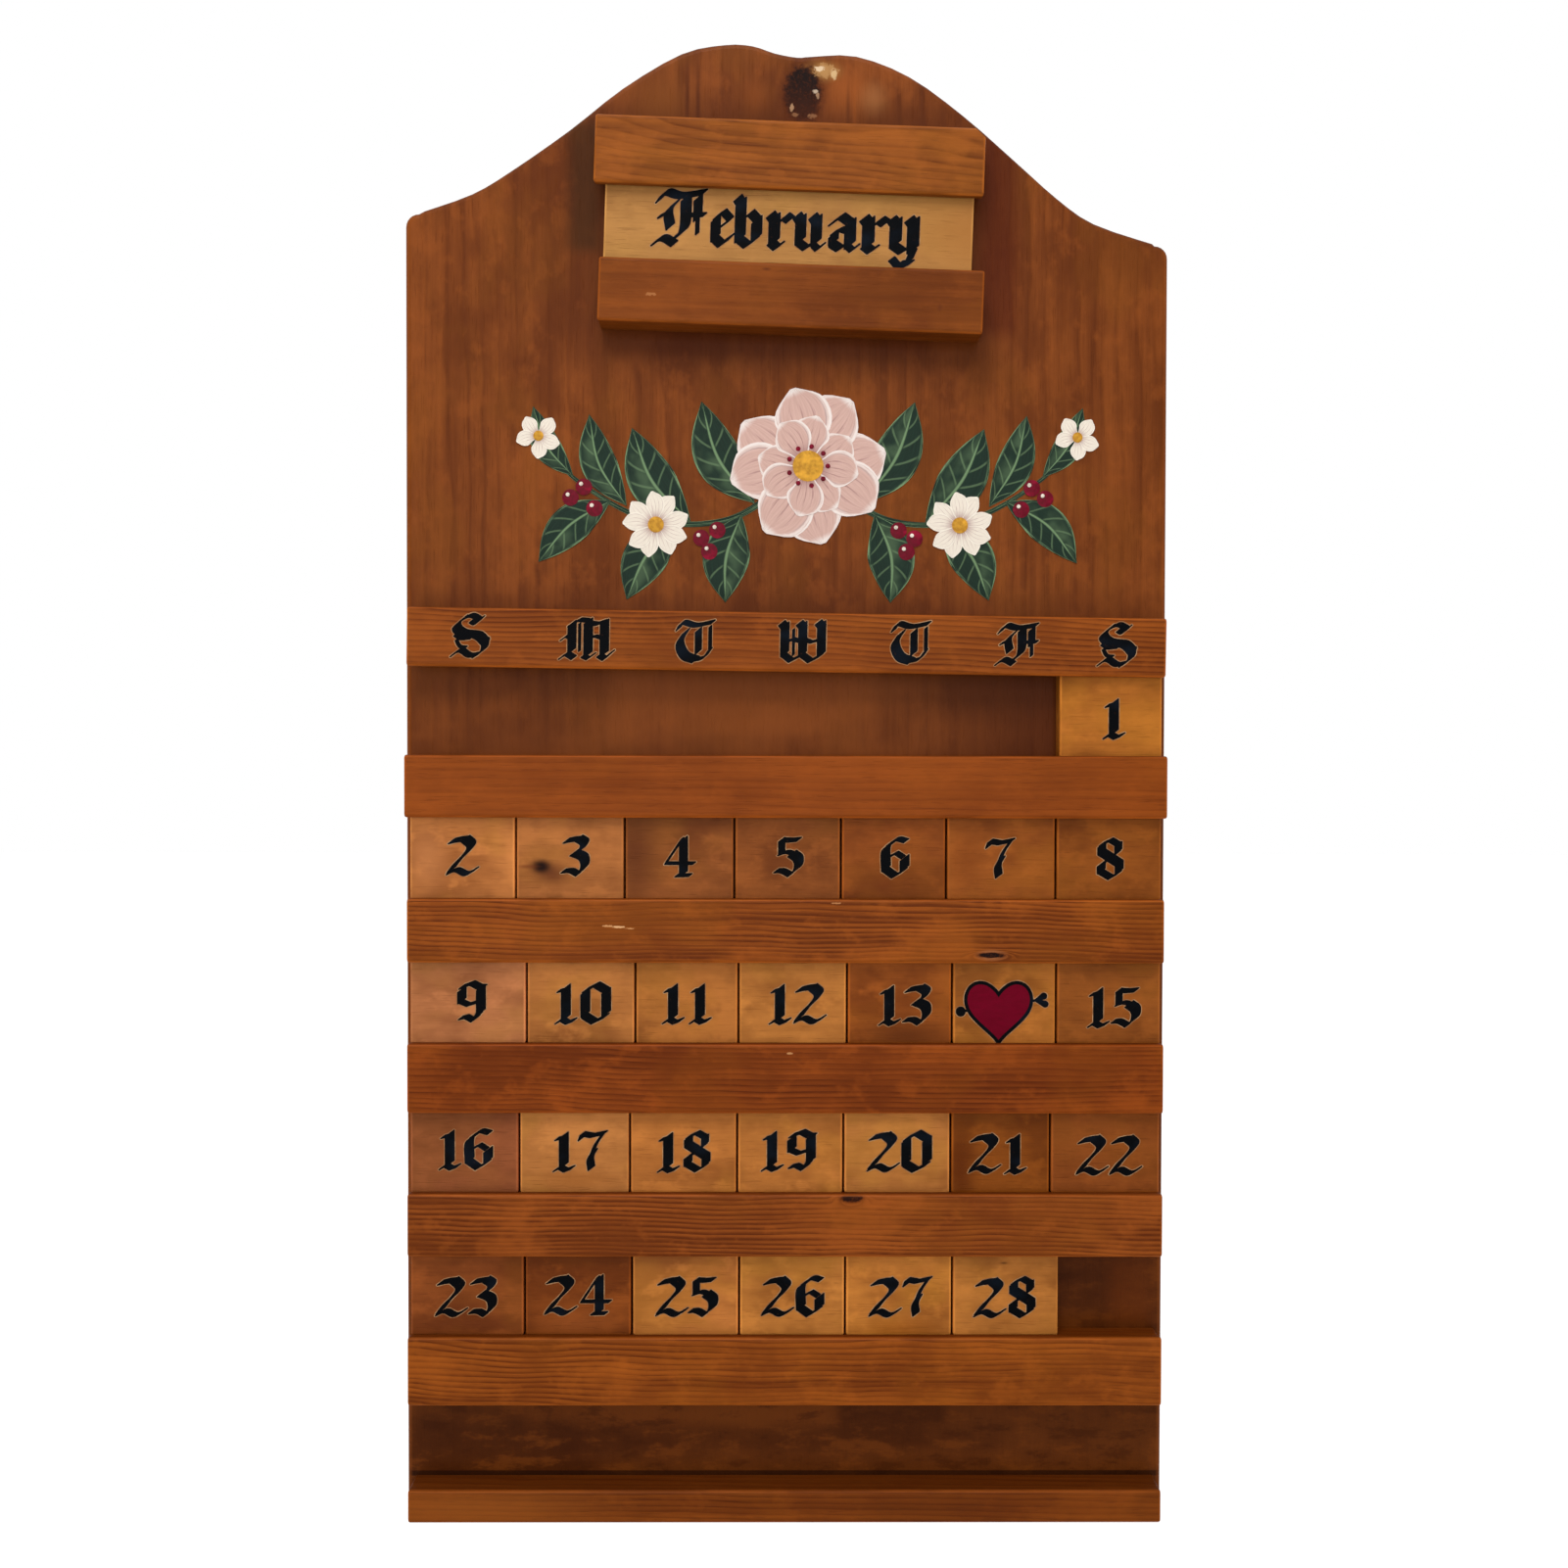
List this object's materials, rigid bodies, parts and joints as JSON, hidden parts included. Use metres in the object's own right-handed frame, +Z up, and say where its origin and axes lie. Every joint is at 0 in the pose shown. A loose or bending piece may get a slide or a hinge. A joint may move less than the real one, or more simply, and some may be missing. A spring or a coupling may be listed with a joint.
{
  "type": "wall perpetual calendar",
  "caption": "Crested wooden wall board with rabbeted rails, between which loose day tiles and a month plate slide to set out any month.",
  "frame": {"origin": "centre of the board's back face, which lies on the wall", "axes": "+X to the right seen from the front, +Y into the wall, +Z up"},
  "size_m": [0.2858, 0.0318, 0.551],
  "materials": {
    "board": "stained pine with upright grain, satin varnish",
    "month_rail": "stained pine with grain along the rail, satin varnish",
    "weekday_rail": "stained pine with grain along the rail, satin varnish",
    "week_rail": "stained pine with grain along the rail, satin varnish",
    "month_plate": "pale pine, satin varnish",
    "tile_amber": "light amber pine, satin varnish",
    "tile_rose": "pinkish pine, satin varnish",
    "tile_brown": "darker pine, satin varnish",
    "hanger_steel": "zinc-plated steel, dull",
    "lettering_paint": "black craft paint, satin",
    "leaf_paint": "dark green craft paint",
    "petal_paint": "pale pink craft paint",
    "white_paint": "off-white craft paint",
    "red_paint": "deep red craft paint",
    "yellow_paint": "ochre yellow craft paint"
  },
  "bodies": {
    "root": {"back_board": "board", "month_rail_upper": "month_rail", "month_rail_lower": "month_rail", "weekday_rail": "weekday_rail", "week_rail_1": "week_rail", "week_rail_2": "week_rail", "week_rail_3": "week_rail", "week_rail_4": "week_rail", "week_rail_5": "week_rail", "bottom_ledge": "week_rail", "hanger_strip": "hanger_steel", "hanger_nail_left": "hanger_steel", "hanger_nail_right": "hanger_steel"},
    "month_plate": {"month_plate": "month_plate"},
    "tile_01": {"tile_01": "tile_amber"},
    "tile_02": {"tile_02": "tile_rose"},
    "tile_03": {"tile_03": "tile_rose"},
    "tile_04": {"tile_04": "tile_brown"},
    "tile_05": {"tile_05": "tile_brown"},
    "tile_06": {"tile_06": "tile_brown"},
    "tile_07": {"tile_07": "tile_brown"},
    "tile_08": {"tile_08": "tile_brown"},
    "tile_09": {"tile_09": "tile_rose"},
    "tile_10": {"tile_10": "tile_amber"},
    "tile_11": {"tile_11": "tile_amber"},
    "tile_12": {"tile_12": "tile_amber"},
    "tile_13": {"tile_13": "tile_brown"},
    "tile_heart": {"tile_heart": "tile_amber"},
    "tile_15": {"tile_15": "tile_brown"},
    "tile_16": {"tile_16": "tile_brown"},
    "tile_17": {"tile_17": "tile_amber"},
    "tile_18": {"tile_18": "tile_amber"},
    "tile_19": {"tile_19": "tile_amber"},
    "tile_20": {"tile_20": "tile_amber"},
    "tile_21": {"tile_21": "tile_brown"},
    "tile_22": {"tile_22": "tile_brown"},
    "tile_23": {"tile_23": "tile_brown"},
    "tile_24": {"tile_24": "tile_brown"},
    "tile_25": {"tile_25": "tile_amber"},
    "tile_26": {"tile_26": "tile_amber"},
    "tile_27": {"tile_27": "tile_amber"},
    "tile_28": {"tile_28": "tile_amber"}
  },
  "joints": [
    {"name": "month_plate_slide", "type": "slide", "parent": "root", "child": "month_plate", "axis": [0.9995, 0, -0.0332], "range_m": [-0.1376, 0.1376]},
    {"name": "tile_01_slide", "type": "slide", "parent": "root", "child": "tile_01", "axis": [1, 0, 0], "range_m": [-0.2794, 0.03991]},
    {"name": "tile_05_slide", "type": "slide", "parent": "root", "child": "tile_05", "axis": [1, 0, 0], "range_m": [-0.03991, 0.03991]},
    {"name": "tile_02_slide", "type": "slide", "parent": "root", "child": "tile_02", "axis": [1, 0, 0], "range_m": [-0.03991, 0.03991]},
    {"name": "tile_03_slide", "type": "slide", "parent": "root", "child": "tile_03", "axis": [1, 0, 0], "range_m": [-0.03991, 0.03991]},
    {"name": "tile_04_slide", "type": "slide", "parent": "root", "child": "tile_04", "axis": [1, 0, 0], "range_m": [-0.03991, 0.03991]},
    {"name": "tile_06_slide", "type": "slide", "parent": "root", "child": "tile_06", "axis": [1, 0, 0], "range_m": [-0.03991, 0.03991]},
    {"name": "tile_07_slide", "type": "slide", "parent": "root", "child": "tile_07", "axis": [1, 0, 0], "range_m": [-0.03991, 0.03991]},
    {"name": "tile_08_slide", "type": "slide", "parent": "root", "child": "tile_08", "axis": [1, 0, 0], "range_m": [-0.03991, 0.03991]},
    {"name": "tile_12_slide", "type": "slide", "parent": "root", "child": "tile_12", "axis": [1, 0, 0], "range_m": [-0.03991, 0.03991]},
    {"name": "tile_09_slide", "type": "slide", "parent": "root", "child": "tile_09", "axis": [1, 0, 0], "range_m": [-0.03991, 0.03991]},
    {"name": "tile_10_slide", "type": "slide", "parent": "root", "child": "tile_10", "axis": [1, 0, 0], "range_m": [-0.03991, 0.03991]},
    {"name": "tile_11_slide", "type": "slide", "parent": "root", "child": "tile_11", "axis": [1, 0, 0], "range_m": [-0.03991, 0.03991]},
    {"name": "tile_13_slide", "type": "slide", "parent": "root", "child": "tile_13", "axis": [1, 0, 0], "range_m": [-0.03991, 0.03991]},
    {"name": "tile_heart_slide", "type": "slide", "parent": "root", "child": "tile_heart", "axis": [1, 0, 0], "range_m": [-0.03991, 0.03991]},
    {"name": "tile_15_slide", "type": "slide", "parent": "root", "child": "tile_15", "axis": [1, 0, 0], "range_m": [-0.03991, 0.03991]},
    {"name": "tile_19_slide", "type": "slide", "parent": "root", "child": "tile_19", "axis": [1, 0, 0], "range_m": [-0.03991, 0.03991]},
    {"name": "tile_16_slide", "type": "slide", "parent": "root", "child": "tile_16", "axis": [1, 0, 0], "range_m": [-0.03991, 0.03991]},
    {"name": "tile_17_slide", "type": "slide", "parent": "root", "child": "tile_17", "axis": [1, 0, 0], "range_m": [-0.03991, 0.03991]},
    {"name": "tile_18_slide", "type": "slide", "parent": "root", "child": "tile_18", "axis": [1, 0, 0], "range_m": [-0.03991, 0.03991]},
    {"name": "tile_20_slide", "type": "slide", "parent": "root", "child": "tile_20", "axis": [1, 0, 0], "range_m": [-0.03991, 0.03991]},
    {"name": "tile_21_slide", "type": "slide", "parent": "root", "child": "tile_21", "axis": [1, 0, 0], "range_m": [-0.03991, 0.03991]},
    {"name": "tile_22_slide", "type": "slide", "parent": "root", "child": "tile_22", "axis": [1, 0, 0], "range_m": [-0.03991, 0.03991]},
    {"name": "tile_25_slide", "type": "slide", "parent": "root", "child": "tile_25", "axis": [1, 0, 0], "range_m": [-0.03991, 0.03991]},
    {"name": "tile_23_slide", "type": "slide", "parent": "root", "child": "tile_23", "axis": [1, 0, 0], "range_m": [-0.03991, 0.03991]},
    {"name": "tile_24_slide", "type": "slide", "parent": "root", "child": "tile_24", "axis": [1, 0, 0], "range_m": [-0.03991, 0.03991]},
    {"name": "tile_26_slide", "type": "slide", "parent": "root", "child": "tile_26", "axis": [1, 0, 0], "range_m": [-0.03991, 0.03991]},
    {"name": "tile_27_slide", "type": "slide", "parent": "root", "child": "tile_27", "axis": [1, 0, 0], "range_m": [-0.03991, 0.03991]},
    {"name": "tile_28_slide", "type": "slide", "parent": "tile_27", "child": "tile_28", "axis": [1, 0, 0], "range_m": [0, 0.03752]}
  ],
  "couplings": [
    {"joint": "tile_02_slide", "follows": "tile_05_slide", "ratio": 1},
    {"joint": "tile_03_slide", "follows": "tile_05_slide", "ratio": 1},
    {"joint": "tile_04_slide", "follows": "tile_05_slide", "ratio": 1},
    {"joint": "tile_06_slide", "follows": "tile_05_slide", "ratio": 1},
    {"joint": "tile_07_slide", "follows": "tile_05_slide", "ratio": 1},
    {"joint": "tile_08_slide", "follows": "tile_05_slide", "ratio": 1},
    {"joint": "tile_09_slide", "follows": "tile_12_slide", "ratio": 1},
    {"joint": "tile_10_slide", "follows": "tile_12_slide", "ratio": 1},
    {"joint": "tile_11_slide", "follows": "tile_12_slide", "ratio": 1},
    {"joint": "tile_13_slide", "follows": "tile_12_slide", "ratio": 1},
    {"joint": "tile_heart_slide", "follows": "tile_12_slide", "ratio": 1},
    {"joint": "tile_15_slide", "follows": "tile_12_slide", "ratio": 1},
    {"joint": "tile_16_slide", "follows": "tile_19_slide", "ratio": 1},
    {"joint": "tile_17_slide", "follows": "tile_19_slide", "ratio": 1},
    {"joint": "tile_18_slide", "follows": "tile_19_slide", "ratio": 1},
    {"joint": "tile_20_slide", "follows": "tile_19_slide", "ratio": 1},
    {"joint": "tile_21_slide", "follows": "tile_19_slide", "ratio": 1},
    {"joint": "tile_22_slide", "follows": "tile_19_slide", "ratio": 1},
    {"joint": "tile_23_slide", "follows": "tile_25_slide", "ratio": 1},
    {"joint": "tile_24_slide", "follows": "tile_25_slide", "ratio": 1},
    {"joint": "tile_26_slide", "follows": "tile_25_slide", "ratio": 1},
    {"joint": "tile_27_slide", "follows": "tile_25_slide", "ratio": 1}
  ]
}
